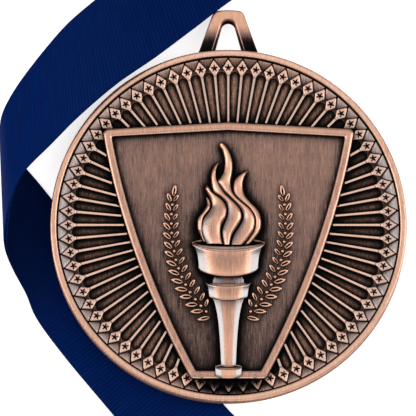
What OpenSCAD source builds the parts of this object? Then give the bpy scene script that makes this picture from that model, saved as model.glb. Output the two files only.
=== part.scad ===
// Sports finisher medal on a neck ribbon, laid out flat.
// The origin is the centre of the medal's back face. +Z is out of the medal's
// front, +Y runs from the centre to the hanging loop. Millimetres.

/* [Medal disc] */
// Diameter of the medal disc
medal_d = 70; // [69:0.5:71]
// Thickness at the raised rim
rim_t = 4; // [3.8:0.1:4.4]
// Width of the raised rim band
rim_w = 1.25; // [1.0:0.05:1.5]
// Height of the sunken ground between the rays
ground_z = 2.4; // [2.0:0.1:2.6]

/* [Rays] */
// Number of rays around the disc
ray_n = 72; // [36:4:72]
// Width of a ray's bar
ray_w = 0.62; // [0.4:0.02:0.8]
// Width of a ray's diamond head
head_w = 2.2; // [1.6:0.1:2.4]
// Height of the rays
ray_z = 3.3; // [3.0:0.1:3.6]

/* [Shield] */
// Width of the shield at its top edge
shield_top_w = 49.6; // [44:0.2:52]
// Width of the shield at its foot
shield_foot_w = 14.6; // [12:0.2:18]
// Width of the shield's raised border
border_w = 1.55; // [1.2:0.05:2.0]
// Height of the sunken panel
panel_z = 3.2; // [3.0:0.1:3.4]
// Height of the raised border
border_z = 4.1; // [3.9:0.1:4.4]
// Height of the peak in the middle of the shield's top edge
peak_h = 1.4; // [0:0.1:3]

/* [Torch and laurels] */
// Height of the torch bowl and flame
torch_z = 5.6; // [5.0:0.1:6.0]
// Height of the torch handle
handle_z = 5.0; // [4.6:0.1:5.4]
// Height of the laurel leaves
leaf_z = 3.7; // [3.5:0.1:4.0]
// Number of leaf pairs on each branch
leaf_n = 12; // [8:1:14]

/* [Hanging loop] */
// Height of the loop's outer edge above the disc centre
loop_top = 43.1; // [42:0.1:44]
// Thickness of the loop
loop_t = 2.4; // [2.0:0.1:2.6]
// Height of the loop's underside above the back face
loop_z = 0.8; // [0.6:0.1:1.0]

/* [Split ring] */
// Diameter of the ring at the middle of its wire
ring_d = 10.8; // [10.4:0.1:11.2]
// Wire diameter of the ring
ring_wire = 1.0; // [0.8:0.1:1.1]

/* [Ribbon] */
// Thickness of the doubled ribbon
strap_t = 1.0; // [0.8:0.1:1.1]
// Width of the ribbon where it is gathered at the ring
tip_w = 6; // [5:0.5:6]

/* [Hidden] */
R = medal_d / 2;
bronze = [0.66, 0.46, 0.36];
navy = [0.03, 0.10, 0.33];

// ---------- outlines ----------

// Radius where the rays start
r_in = 7;

function at(r, a, s) = [r * sin(a) + s * cos(a), r * cos(a) - s * sin(a)];
// Half outline of one ray as [radius, half width]
function ray_half() = [[r_in, ray_w * 0.42], [30.0, ray_w / 2], [31.45, head_w / 2], [33.15, 0.05]];
// The whole ring of rays as one closed outline
function ray_ring() = [
    for (i = [0:ray_n - 1], k = [0:7])
        let (a = i * 360 / ray_n, h = ray_half(), j = k < 4 ? k : 7 - k, s = k < 4 ? -1 : 1)
        at(h[j][0], a, s * h[j][1])];

function bez(a, b, c, t) = (1 - t) * (1 - t) * a + 2 * t * (1 - t) * b + t * t * c;
function mirrored(p) = [for (i = [len(p) - 1:-1:0]) [-p[i][0], p[i][1]]];

shield_top = 19;
shield_foot = -30.5;
// Right side of the shield, inset by e, from its top corner to the foot
function side(e) = [for (i = [0:10]) bez([shield_top_w / 2 - e, shield_top - e],
    [20.5 - e * 1.15, -6], [shield_foot_w / 2 - e, shield_foot + e], i / 10)];
function shield(e) = concat([[0, shield_top + peak_h - e]], side(e), mirrored(side(e)));

// Flame outline, clockwise from the lower left
flame = [[-5.2, -4], [-6.1, 0.5], [-4.6, 4], [-4.3, 8.6], [-3.0, 6.6], [-2.6, 11], [-2.1, 12.6], [-2.0, 9.5],
    [-0.6, 12.2], [-1.6, 16.4], [0.9, 13.4], [1.2, 9.2], [1.6, 6.4], [3.7, 11.1], [3.1, 7.4], [5.8, 3.4],
    [6.6, 0], [4.9, -4]];

// ---------- the medal ----------

module leaf(x, y, a, l) translate([x, y]) rotate(a)
    polygon([[0, 0], [l * 0.3, l * 0.2], [l * 0.65, l * 0.2], [l, 0], [l * 0.65, -l * 0.2], [l * 0.3, -l * 0.2]]);

// Centre line of one laurel branch, s from 0 at its foot to 1 at its tip
function stem(s) = bez([-4.9, -18.4], [-15.5, -9], [-10.9, 7.6], s);
function stem_dir(s) = let (d = stem(min(1, s + 0.01)) - stem(s - 0.01)) atan2(d[1], d[0]);

module branch() for (i = [0:leaf_n - 1]) {
    s = 0.02 + i * 0.93 / leaf_n;
    p = stem(s);
    a = stem_dir(s);
    l = 2.2 - 0.6 * s;
    leaf(p[0] - 0.25 * sin(a), p[1] + 0.25 * cos(a), a + 38, l);
    leaf(p[0] + 0.25 * sin(a), p[1] - 0.25 * cos(a), a - 38, l);
}

module torch() {
    // bowl
    translate([0, 0, panel_z - 0.4]) linear_extrude(torch_z - panel_z + 0.4)
        polygon([[-7.1, -3.2], [-6.2, -6], [-5.9, -8.6], [-3.5, -9.8], [3.5, -9.8], [5.9, -8.6], [6.2, -6], [7.1, -3.2],
            [3.8, -4.0], [-3.8, -4.0]]);
    // flame
    translate([0, 0, ground_z - 0.2]) linear_extrude(torch_z - ground_z) polygon(flame);
    // neck, collar, handle and foot
    translate([0, 0, panel_z - 0.4]) linear_extrude(handle_z - panel_z)
        polygon([[-3.0, -9.5], [-3.0, -11.2], [-4.5, -11.2], [-3.8, -14.0], [-3.1, -14.7], [-1.5, -28.0], [-2.6, -28.0],
            [-2.5, -30.4], [2.5, -30.4], [2.6, -28.0], [1.5, -28.0], [3.1, -14.7], [3.8, -14.0], [4.5, -11.2],
            [3.0, -11.2], [3.0, -9.5]]);
}

function arc(cx, cy, r, a0, a1, n) = [for (i = [0:n]) [cx + r * cos(a0 + (a1 - a0) * i / n), cy + r * sin(a0 + (a1 - a0) * i / n)]];

module hanging_loop() translate([0, 0, loop_z]) linear_extrude(loop_t) difference() {
    polygon(concat([[5.9, R - 0.9]], arc(2.1, loop_top - 1.2, 1.2, 18, 90, 6), arc(-2.1, loop_top - 1.2, 1.2, 90, 162, 6),
        [[-5.9, R - 0.9]]));
    polygon(concat([[2.75, R - 0.5]], arc(0, 38.9, 1.35, 18, 162, 10), [[-2.75, R - 0.5]]));
}

module medal_casting() color(bronze) {
    // disc and rim
    difference() {
        cylinder(r = R, h = rim_t, $fn = 180);
        translate([0, 0, 2.9]) cylinder(r = R - rim_w, h = 3, $fn = 180);
        translate([0, 0, ground_z]) cylinder(r = 31.6, h = 3, $fn = 180);
    }
    // rays with diamond heads
    translate([0, 0, ground_z - 0.2]) linear_extrude(ray_z - ground_z + 0.2) polygon(ray_ring());
    // shield
    translate([0, 0, ground_z - 0.3]) linear_extrude(panel_z - ground_z + 0.3) polygon(shield(0));
    translate([0, 0, ground_z - 0.3]) linear_extrude(border_z - ground_z + 0.3) difference() {
        polygon(shield(0));
        polygon(shield(border_w));
    }
    torch();
    translate([0, 0, panel_z - 0.2]) linear_extrude(leaf_z - panel_z + 0.2) {
        branch();
        mirror([1, 0]) branch();
    }
    hanging_loop();
}

// ---------- ribbon ----------

// Rulings across the doubled ribbon, as [far edge x, y, z, near edge x, y, z],
// from the fold behind the neck to the gathered end at the ring.
lie = -0.6;
route = [
    [5, -40.5, lie, -9.5, -52, lie], [-0.5, -35.5, lie, -15, -46.5, lie],
    [-8, -25.5, lie, -22, -37, lie], [-16.5, -15, lie, -31, -26, lie],
    [-23.5, -7.5, lie, -37, -18, lie], [-31, 1, lie, -39.5, -13, -0.5],
    [-37, 8.5, -0.5, -42, -9, 0.2], [-41, 13, 0.4, -43.3, -6, 1.6],
    [-44.3, 17, 3.2, -43.7, -3.5, 3.6], [-44.5, 20.5, 5.2, -43.4, 0, 5.6],
    [-43.2, 24.2, 6.2, -42.2, 5, 7.2], [-40.5, 29, 5, -39.5, 10, 8],
    [-36, 35.5, 2.5, -35.4, 16, 8.2], [-31.5, 41, 1, -29.9, 22, 8],
    [-26, 46, 0.2, -22.6, 28.3, 7.4], [-19.5, 51.5, -0.2, -15, 34, 6.4],
    [-13, 56.3, -0.4, -7.5, 40, 5], [-6, 61.5, -0.5, 0, 46, 3.6],
    [2, 67, lie, 8, 51, 2], [11, 72, lie, 16, 55, 0.4],
    [19, 75, lie, 21, 57.2, lie], [23, 76, lie, 24, 58, lie], [26.5, 76, lie, 26.5, 58, lie],
    [31, 76, lie, 31, 58, lie], [34.5, 76, lie, 34.5, 58, lie], [36.6, 76, 0, 36.6, 58, 0], [37.7, 76, 1.1, 37.7, 58, 1.1],
    [37, 76, 2, 37, 58, 2], [35, 76, 2.8, 35, 58, 2.8], [20, 76, 2.9, 20, 58, 2.9],
    [0, 76, 2.8, 0, 58, 2.8], [-15, 76, 1.6, -15, 58, 1.6], [-25, 76, 0, -25, 58, 0],
    [-34, 76, lie, -34, 58, lie], [-36, 76, -0.2, -36, 58, -0.2], [-36.6, 76, 0.6, -36.6, 58, 0.6],
    [-36, 76, 1.4, -36, 58, 1.4], [-34, 76, 1.8, -34, 58, 1.8], [-24, 76, 2.2, -24, 58, 2.2],
    [-12, 76, 3.8, -12, 58, 3.8], [0, 76, 4.4, 0, 58, 4.4], [20, 76, 4.6, 20, 58, 4.6],
    [34, 76, 4.5, 34, 58, 4.5], [36, 76, 4.8, 36, 58, 4.8], [36.6, 76, 5.6, 36.6, 58, 5.6],
    [36, 76, 6.4, 36, 58, 6.4], [34, 76, 6.8, 34, 58, 6.8], [21, 76, 6.3, 21, 58, 6.3],
    [14, 76, 6.3, 14, 58, 6.3], [8, 76, 6.3, 8, 58, 6.3], [3, 75.6, 6.3, 3, 58.4, 6.3], [-2, 72.5, 6.3, -2, 61.5, 6.3],
    [-6.7, 67 + tip_w / 2, 6.3, -6.7, 67 - tip_w / 2, 6.3]];

tip = [-8, 67, 6.3];

function cr(a, b, c, d, t) = b + 0.5 * t * (c - a + t * (2 * a - 5 * b + 4 * c - d + t * (3 * (b - c) + d - a)));
route_n = len(route);
steps = 2;
function ruling(i, t) = cr(route[max(0, i - 1)], route[i], route[min(route_n - 1, i + 1)], route[min(route_n - 1, i + 2)], t);
rulings = concat([for (i = [0:route_n - 2], k = [0:steps - 1]) ruling(i, k / steps)], [route[route_n - 1]]);
rn = len(rulings);
function far(q) = [q[0], q[1], q[2]];
function near(q) = [q[3], q[4], q[5]];
function mid(q) = (far(q) + near(q)) / 2;
function unit(v) = v / norm(v);
function up(i) = unit(cross(mid(rulings[max(0, i - 1)]) - mid(rulings[min(rn - 1, i + 1)]), near(rulings[i]) - far(rulings[i])));

module strap() {
    pts = [for (i = [0:rn - 1]) let (q = rulings[i], n = up(i) * strap_t / 2)
        each [far(q) + n, near(q) + n, near(q) - n, far(q) - n]];
    sides = [for (i = [0:rn - 2], k = [0:3]) let (a = 4 * i + k, b = 4 * i + (k + 1) % 4)
        each [[a, b, b + 4], [a, b + 4, a + 4]]];
    ends = [[0, 2, 1], [0, 3, 2], [4 * rn - 4, 4 * rn - 3, 4 * rn - 2], [4 * rn - 4, 4 * rn - 2, 4 * rn - 1]];
    polyhedron(pts, concat(sides, ends), convexity = 10);
}

module neck_ribbon() color(navy) {
    strap();
    // sleeve round the ring
    translate(tip) rotate([90, 0, 0]) difference() {
        cylinder(r = 1.55, h = tip_w, center = true, $fn = 40);
        cylinder(r = 1.12, h = tip_w + 1, center = true, $fn = 40);
    }
}

module lap_stitching() color([0.02, 0.07, 0.25]) translate([0, 67, tip[2] + strap_t / 2]) {
    for (x = [4, 12]) translate([x - 0.2, -4, 0]) cube([0.4, 8, 0.25]);
    for (y = [-4, 3.6]) translate([4.2, y, 0]) cube([7.6, 0.4, 0.25]);
}

module split_ring() color(bronze) translate(tip) rotate([0, -5, 0]) translate([0.45 - ring_d / 2, 0, 0])
    rotate_extrude($fn = 72) translate([ring_d / 2, 0]) circle(r = ring_wire / 2, $fn = 24);

medal_casting();
split_ring();
neck_ribbon();
lap_stitching();
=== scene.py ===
import math

import bpy
import numpy as np
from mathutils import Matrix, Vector
from mathutils.bvhtree import BVHTree
from mathutils.geometry import delaunay_2d_cdt


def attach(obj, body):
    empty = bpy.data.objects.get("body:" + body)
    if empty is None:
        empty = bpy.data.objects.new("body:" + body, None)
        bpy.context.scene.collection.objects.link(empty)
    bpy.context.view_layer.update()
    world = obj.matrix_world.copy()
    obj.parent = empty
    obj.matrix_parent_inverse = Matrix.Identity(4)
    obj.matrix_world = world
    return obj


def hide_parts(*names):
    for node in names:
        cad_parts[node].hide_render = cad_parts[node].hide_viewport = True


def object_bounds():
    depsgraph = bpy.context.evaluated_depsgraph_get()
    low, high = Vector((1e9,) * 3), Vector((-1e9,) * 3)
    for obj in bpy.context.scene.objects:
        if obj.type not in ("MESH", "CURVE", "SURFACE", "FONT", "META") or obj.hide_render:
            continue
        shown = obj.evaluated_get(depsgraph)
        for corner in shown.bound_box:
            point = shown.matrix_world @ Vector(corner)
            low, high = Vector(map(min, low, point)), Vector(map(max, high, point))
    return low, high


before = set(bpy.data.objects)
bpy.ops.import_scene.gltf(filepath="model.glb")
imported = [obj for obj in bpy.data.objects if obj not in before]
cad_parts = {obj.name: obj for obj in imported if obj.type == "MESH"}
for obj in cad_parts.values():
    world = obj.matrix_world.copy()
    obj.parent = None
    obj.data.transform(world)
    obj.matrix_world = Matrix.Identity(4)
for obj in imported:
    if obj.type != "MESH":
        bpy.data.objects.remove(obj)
cad_lo, cad_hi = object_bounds()
MM = 0.001
RNG = np.random.default_rng(11)

# Sizes in millimetres, in the CAD frame: z = 0 is the medal's flat back, +Z out of its front, +Y to the loop.
R = 35.0
TABLE_Z = float(cad_lo.z) / MM
RAYS = 72
GROUND, LEDGE, RAY_Z = 2.4, 2.8, 3.3
PANEL, BORDER = 3.2, 4.12

# ---------------------------------------------------------------- camera

back = Vector((0, -math.cos(math.radians(80.3)), math.sin(math.radians(80.3))))
target = Vector((-4.0, 3.25, 4.0)) * MM
cam = bpy.data.objects.new("camera", bpy.data.cameras.new("camera"))
bpy.context.scene.collection.objects.link(cam)
cam.data.lens = 441
cam.data.sensor_width = 36
cam.data.clip_start, cam.data.clip_end = 0.05, 20
cam.data.dof.use_dof = False
cam.rotation_mode = "QUATERNION"
cam.rotation_quaternion = (-back).to_track_quat("-Z", "Y")
cam.location = target + back * 1.0
bpy.context.scene.camera = cam

# ---------------------------------------------------------------- mesh help


class Shape:
    """Collects vertices and faces in millimetres, with a bias for each part added that carries patina together with
    painted highlights and painted shade, and a pale amount for painted highlights.
    """

    def __init__(self):
        self.v, self.f, self.b, self.p, self.n = [], [], [], [], 0

    def add(self, verts, faces, bias=0.0, up=True, pale=0.0):
        verts = np.asarray(verts, float).reshape(-1, 3)
        if up:
            area = 0.0
            for f in faces:
                p = verts[list(f)]
                area += float(np.sum(p[:, 0] * np.roll(p[:, 1], -1) - p[:, 1] * np.roll(p[:, 0], -1)))
            if area < 0:
                faces = [tuple(reversed(f)) for f in faces]
        self.f += [tuple(int(i) + self.n for i in f) for f in faces]
        self.v.append(verts)
        self.b.append(np.full(len(verts), bias) if np.isscalar(bias) else np.asarray(bias, float))
        self.p.append(np.full(len(verts), pale) if np.isscalar(pale) else np.asarray(pale, float))
        self.n += len(verts)

    def build(self, name, sharp=None):
        v = np.vstack(self.v)
        me = bpy.data.meshes.new(name)
        me.from_pydata((v * MM).tolist(), [], self.f)
        me.update()
        me.polygons.foreach_set("use_smooth", np.ones(len(me.polygons), bool))
        if sharp:
            me.set_sharp_from_angle(angle=math.radians(sharp))
        ob = bpy.data.objects.new(name, me)
        bpy.context.scene.collection.objects.link(ob)
        ob["_mm"] = 1
        self.ob = ob
        return ob


def strips(rows, cols, wrap=True):
    """Quads between rows of cols points each; wrap closes each row."""
    out = []
    last = cols if wrap else cols - 1
    for r in range(rows - 1):
        a, b = r * cols, (r + 1) * cols
        for c in range(last):
            d = (c + 1) % cols
            out.append((a + c, a + d, b + d, b + c))
    return out


def offset(p, e):
    """A closed outline moved inward by e (the outline runs counter-clockwise), mitred."""
    p = np.asarray(p, float)
    d = np.roll(p, -1, 0) - p
    d /= np.linalg.norm(d, axis=1)[:, None]
    n = np.stack([-d[:, 1], d[:, 0]], 1)
    m = n + np.roll(n, 1, 0)
    m /= np.maximum(np.einsum("ij,ij->i", m, m) / 2, 0.35)[:, None]
    return p + m * e


def ccw(p):
    p = np.asarray(p, float)
    a = np.sum(p[:, 0] * np.roll(p[:, 1], -1) - p[:, 1] * np.roll(p[:, 0], -1))
    return p if a > 0 else p[::-1].copy()


def fillet(p, radius, n=4):
    """Rounds every corner that turns by more than 12 degrees; returns the same number of points for any radius."""
    p = np.asarray(p, float)
    out = []
    for i in range(len(p)):
        a, b, c = p[i - 1], p[i], p[(i + 1) % len(p)]
        u, w = a - b, c - b
        lu, lw = np.linalg.norm(u), np.linalg.norm(w)
        u, w = u / lu, w / lw
        turn = math.acos(max(-1, min(1, float(-(u @ w)))))
        if turn < math.radians(12):
            out.append(b)
            continue
        k = min(radius * math.tan(turn / 2), 0.45 * lu, 0.45 * lw)
        s, e = b + u * k, b + w * k
        for j in range(n + 1):
            t = j / n
            out.append((1 - t) ** 2 * s + 2 * t * (1 - t) * b + t * t * e)
    return np.array(out)


def divide(loops, step):
    """Adds points along the edges of matching loops, the same number on each."""
    base = loops[0]
    count = np.maximum(1, np.ceil(np.linalg.norm(np.roll(base, -1, 0) - base, axis=1) / step).astype(int))
    out = []
    for p in loops:
        q = np.roll(p, -1, 0)
        out.append(np.vstack([p[i] + (q[i] - p[i]) * j / count[i] for i in range(len(p)) for j in range(count[i])]))
    return out


def inside(pts, poly):
    x, y = pts[:, 0], pts[:, 1]
    hit = np.zeros(len(pts), bool)
    for (x0, y0), (x1, y1) in zip(poly, np.roll(poly, -1, 0)):
        if y0 == y1:
            continue
        hit ^= ((y0 > y) != (y1 > y)) & (x < (x1 - x0) * (y - y0) / (y1 - y0) + x0)
    return hit


def near_edge(pts, poly):
    best = np.full(len(pts), 1e9)
    for a, b in zip(poly, np.roll(poly, -1, 0)):
        d = b - a
        t = np.clip(((pts - a) @ d) / max(float(d @ d), 1e-12), 0, 1)
        best = np.minimum(best, np.linalg.norm(pts - a - t[:, None] * d, axis=1))
    return best


def cap(outer, holes=(), pitch=0.6):
    """Triangles that fill an outline, with points inside it on a jittered grid."""
    loops = [np.asarray(outer)] + [np.asarray(h) for h in holes]
    lo, hi = loops[0].min(0), loops[0].max(0)
    xs, ys = np.arange(lo[0], hi[0], pitch), np.arange(lo[1], hi[1], pitch * 0.866)
    g = np.stack(np.meshgrid(xs, ys), -1)
    g[1::2, :, 0] += pitch / 2
    g = g.reshape(-1, 2)
    g = g[inside(g, loops[0])]
    for h in loops[1:]:
        g = g[~inside(g, h)]
    for h in loops:
        g = g[near_edge(g, h) > pitch * 0.55]
    coords, edges = [], []
    for p in loops:
        k = len(coords)
        coords += [Vector(c) for c in p]
        edges += [(k + i, k + (i + 1) % len(p)) for i in range(len(p))]
    coords += [Vector(c) for c in g]
    v, _, f, *_ = delaunay_2d_cdt(coords, edges, [], 0, 1e-7, False)
    v = np.array([tuple(c) for c in v])
    mid = np.array([v[list(t)].mean(0) for t in f])
    ok = inside(mid, loops[0])
    for h in loops[1:]:
        ok &= ~inside(mid, h)
    return v, [tuple(t) for t, k in zip(f, ok) if k]


def with_z(p, z):
    p = np.asarray(p, float)
    return np.column_stack([p, np.broadcast_to(z, len(p))])


def spline(points, n, closed=False):
    """Catmull-Rom curve through the points, n samples a span."""
    p = np.asarray(points, float)
    a, b = np.vstack([p[:1], p[:-1]]), p
    out = []
    for i in range(len(p) - 1):
        p0, p1, p2, p3 = p[max(0, i - 1)], p[i], p[i + 1], p[min(len(p) - 1, i + 2)]
        for k in range(n):
            t = k / n
            out.append(p1 + 0.5 * t * (p2 - p0 + t * (2 * p0 - 5 * p1 + 4 * p2 - p3 + t * (3 * (p1 - p2) + p3 - p0))))
    out.append(p[-1])
    return np.array(out)


def ramp(x, a, b):
    t = np.clip((x - a) / (b - a), 0, 1)
    return t * t * (3 - 2 * t)


def polar(r, a, s=0.0):
    """Point at radius r on the ray at angle a (clockwise from +Y), s to its side."""
    return r * np.sin(a) + s * np.cos(a), r * np.cos(a) - s * np.sin(a)


# ---------------------------------------------------------------- disc, channels and rim

def bez(a, b, c, t):
    a, b, c = map(np.array, (a, b, c))
    return (1 - t) ** 2 * a + 2 * t * (1 - t) * b + t * t * c


SHIELD_SIDE = [bez((24.8, 19.0), (20.5, -6.0), (7.3, -30.5), i / 14) for i in range(15)]
OUTLINE = ccw(np.array([np.array((0.0, 20.4))] + SHIELD_SIDE + [p * [-1, 1] for p in SHIELD_SIDE[::-1]]))
SECTOR = 2 * math.pi / RAYS
HALF_BAR = ([6.5, 8, 14, 24, 29.9, 30.4, 31.45, 33.15, 33.4], [0.12, 0.17, 0.22, 0.25, 0.285, 0.40, 1.08, 0.06, 0.05])


def disc():
    cols = []  # (side, index) for one sector
    for side, ids in ((-1, [6, 5, 4, 3, 2, 1]), (1, [0, 1, 2, 3, 4, 5])):
        cols += [(side, i) for i in ids]
    per = len(cols)
    rows = []

    def ray_row(r, floor, top, arch=False, lift=0.0):
        ang, rad, z, bias = np.zeros(per), np.zeros(per), np.zeros(per), np.zeros(per)
        half = r * SECTOR / 2
        h = min(float(np.interp(r, *HALF_BAR)), 0.55 * half) if r < 14 else float(np.interp(r, *HALF_BAR))
        rest = max(half - h - 0.04, 0.05)
        at = [0, max(h - 0.07, 0.02), h, h + 0.04, h + 0.04 + 0.35 * rest, h + 0.04 + 0.7 * rest, half]
        up = [top + 0.02, top, top - 0.10, floor + 0.07, floor, floor - 0.02, floor - 0.02]
        for k, (side, i) in enumerate(cols):
            c = min(at[i], half)
            t = min(1, max(0, (half - c) / (half - 0.31)))
            rr = r + (0.62 * (1 - t * t) - 0.1 if arch else 0)
            ang[k], rad[k], z[k] = side * c / r, rr, up[i] + (lift if i > 2 else 0)
            bias[k] = (0.0, -0.02, -0.05, -0.10, 0.20, 0.34, 0.36)[i] * min(1.0, rest / 0.7) if up[i] < 2.6 else 0.0
        rows.append((ang, rad, z, bias))

    for r in [6.5, 8] + [9 + 0.55 * i for i in range(37)] + [29.3, 29.6, 29.8]:
        ray_row(r, GROUND, RAY_Z)
    for r, floor in ((30.05, GROUND), (30.12, GROUND + 0.02), (30.16, GROUND + 0.14), (30.20, LEDGE - 0.12), (30.26, LEDGE - 0.02), (30.36, LEDGE)):
        ray_row(r, floor, 3.05, arch=True)
    for r in (31.05, 31.45, 32.0, 32.6, 33.15):
        ray_row(r, LEDGE, 3.0 if r < 33 else 2.9)
    even = np.array([s * i / 6 * SECTOR / 2 for s, i in cols])

    def ring(r, z, bias=0.0):
        rows.append((even, np.full(per, r), np.full(per, z), np.full(per, bias)))

    for r, z in (
        (33.46, LEDGE), (33.52, 2.72), (33.58, 2.60), (33.66, 2.60), (33.70, 2.75), (33.72, 3.55), (33.745, 3.74),
        (33.78, 3.84), (33.85, 3.905), (33.96, 3.945), (34.12, 3.965), (34.34, 3.97), (34.56, 3.965), (34.72, 3.945), (34.82, 3.905), (34.90, 3.83),
        (34.96, 3.72), (34.99, 3.58), (35.0, 3.4), (35.0, 2.2), (35.0, 1.1), (35.0, 0.36), (34.98, 0.22), (34.93, 0.11),
        (34.85, 0.04), (34.7, 0.0), (34.4, 0.0), (33.35, 0.0), (33.25, 0.03), (33.18, 0.12), (32.9, 0.16), (32.62, 0.12), (32.55, 0.03), (32.45, 0.0), (31.5, 0.0),
        (24, 0.0), (14, 0.0), (5, 0.0),
    ):
        ring(r, z)
    verts, biases, pales = [], [], []
    base = np.arange(RAYS) * SECTOR
    for ang, rad, z, bias in rows:
        a = (base[:, None] + ang[None, :]).ravel()
        r = np.tile(rad, RAYS)
        x, y = polar(r, a)
        z = np.tile(z, RAYS)
        under = (z > 2.2) & (r < 32) & inside(np.column_stack([x, y]), offset(OUTLINE, 0.06))
        verts.append(np.column_stack([x, y, np.where(under, 2.3, z)]))
        bias = np.tile(bias, RAYS)
        aside = np.abs(x) / np.maximum(r, 1)
        ground = (z < 2.6) & (z > 2.2) & (r < 31.3)
        bias = np.where(ground, bias - 0.06 - 0.20 * aside ** 2 - 0.07 * ramp(-r, -27.5, -20.0) * (0.5 + aside), bias)
        slot = (np.abs(x) < 7.2) & (y > -9) & (y < 24)
        bias = np.where(slot, bias - 0.50 * (1 - ramp(y, 7.0, 24.0)), bias)
        bar = (z > 3.1) & (z < 3.34) & (r < 31.2)
        # painted highlight: bars running up and down the face get a paler tone, for the side lights' glint on their
        # walls
        pales.append(np.where(bar, 0.10 + 0.40 * (y / np.maximum(r, 1)) ** 2, 0.0))
        biases.append(bias + 0.10 * bar * (~slot))
    n = per * RAYS
    faces = strips(len(rows), n)
    verts = np.vstack(verts)
    faces = [tuple(reversed(f)) for f in faces]
    k = len(verts)
    verts = np.vstack([verts, [[0, 0, GROUND], [0, 0, 0]]])
    faces += [(i, (i + 1) % n, k) for i in range(n)]
    lastrow = (len(rows) - 1) * n
    faces += [(lastrow + (i + 1) % n, lastrow + i, k + 1) for i in range(n)]
    # outward: flip everything if the front is facing down
    p = verts[list(faces[-1])]
    if np.cross(p[1] - p[0], p[2] - p[0])[2] > 0:
        faces = [tuple(reversed(f)) for f in faces]
    s = Shape()
    s.add(verts, faces, np.concatenate(biases + [np.zeros(2)]), up=False, pale=np.concatenate(pales + [np.zeros(2)]))
    return s


# ---------------------------------------------------------------- diamond heads with star pits, and the facets between


def heads():
    s = Shape()
    n = 40
    th = np.arange(n) * 2 * math.pi / n  # 0 points outward
    kite = np.array([(1.72, 0.07), (0.02, 1.10), (-0.12, 1.08), (-1.30, 0.32), (-1.55, 0.30)])
    kite = np.vstack([kite, (kite * [1, -1])[::-1]])
    a, b = kite, np.roll(kite, -1, 0)
    rk = np.zeros((n, 2))
    for i, t in enumerate(th):
        d = np.array([math.cos(t), math.sin(t)])
        best = None
        for p, q in zip(a, b):
            m = np.array([[d[0], p[0] - q[0]], [d[1], p[1] - q[1]]])
            if abs(np.linalg.det(m)) < 1e-9:
                continue
            l, u = np.linalg.solve(m, p)
            if l > 0 and -1e-6 <= u <= 1 + 1e-6 and (best is None or l < best):
                best = l
        rk[i] = d * best
    for c in kite:
        j = int(np.argmin(np.linalg.norm(rk - c, axis=1)))
        rk[j] = c
    arm = (np.arange(n) % 8) / 4.0
    rs = 0.27 + 0.47 * np.abs(1 - arm) ** 1.15
    turn = math.radians(0)
    star = np.column_stack([np.cos(th + turn), np.sin(th + turn)]) * rs[:, None]
    kin = rk * 0.90
    rings = [
        (rk * 1.015, 2.70), (rk, 3.14), (rk * 0.975, 3.27), (rk * 0.93, 3.34), (kin, 3.355),
        (kin * 0.45 + star * 0.62, 3.375), (star * 1.10, 3.36), (star * 1.0, 3.31), (star * 0.93, 3.05), (star * 0.55, 3.03),
    ]
    base = [(p, z) for p, z in rings]
    for i in range(RAYS):
        t = i * SECTOR
        out = []
        for p, z in base:
            x, y = polar(31.42 + p[:, 0], t, p[:, 1])
            out.append(np.column_stack([x, y, z + 0.07 * p[:, 0]]))
        x, y = polar(31.42, t)
        v = np.vstack(out + [[[x, y, 3.03]]])
        f = strips(len(base), n)
        k = (len(base) - 1) * n
        f += [(k + j, k + (j + 1) % n, len(v) - 1) for j in range(n)]
        bias = np.concatenate([np.zeros(7 * n), np.full(n, -0.1), np.full(len(v) - 8 * n, -0.9)])
        # painted highlight: the kite bevel rows are brighter and paler, and heads towards the left and right sides
        # paler, for the side lights' glint
        bright = np.concatenate([np.zeros(2 * n), np.full(2 * n, 0.55), np.full(len(v) - 4 * n, 0.10)])
        s.add(v, f, bias + 0.02 + 0.2 * bright, pale=np.minimum(bright + 0.25 * abs(math.sin(t)), 1))
    # facets between the heads
    for i in range(RAYS):
        t = (i + 0.5) * SECTOR
        tri = [(33.45, -1.36), (33.46, -0.68), (33.47, 0.0), (33.46, 0.68), (33.45, 1.36), (33.12, 1.20), (31.66, 0.22), (31.40, 0.0), (31.66, -0.22), (33.12, -1.20)]
        tri = np.array(tri)
        c = np.array([32.78, 0.0])
        out = []
        for k, z in ((1.0, 2.62), (0.985, 2.80), (0.94, 2.88), (0.86, 2.90), (0.3, 2.91)):
            q = c + (tri - c) * k
            x, y = polar(q[:, 0], t, q[:, 1])
            out.append(np.column_stack([x, y, z + 0.22 * (q[:, 0] - 32.4)]))
        x, y = polar(c[0], t)
        v = np.vstack(out + [[[x, y, 2.99]]])
        m = len(tri)
        f = strips(len(out), m)
        f += [(4 * m + j, 4 * m + (j + 1) % m, len(v) - 1) for j in range(m)]
        lit = abs(math.sin(t)) ** 1.5
        s.add(v, f, np.concatenate([np.full(2 * m, -0.05), np.full(len(v) - 2 * m, 0.08 + 0.20 * lit)]), pale=0.15 + 0.75 * lit)
    return s


# ---------------------------------------------------------------- shield


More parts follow.
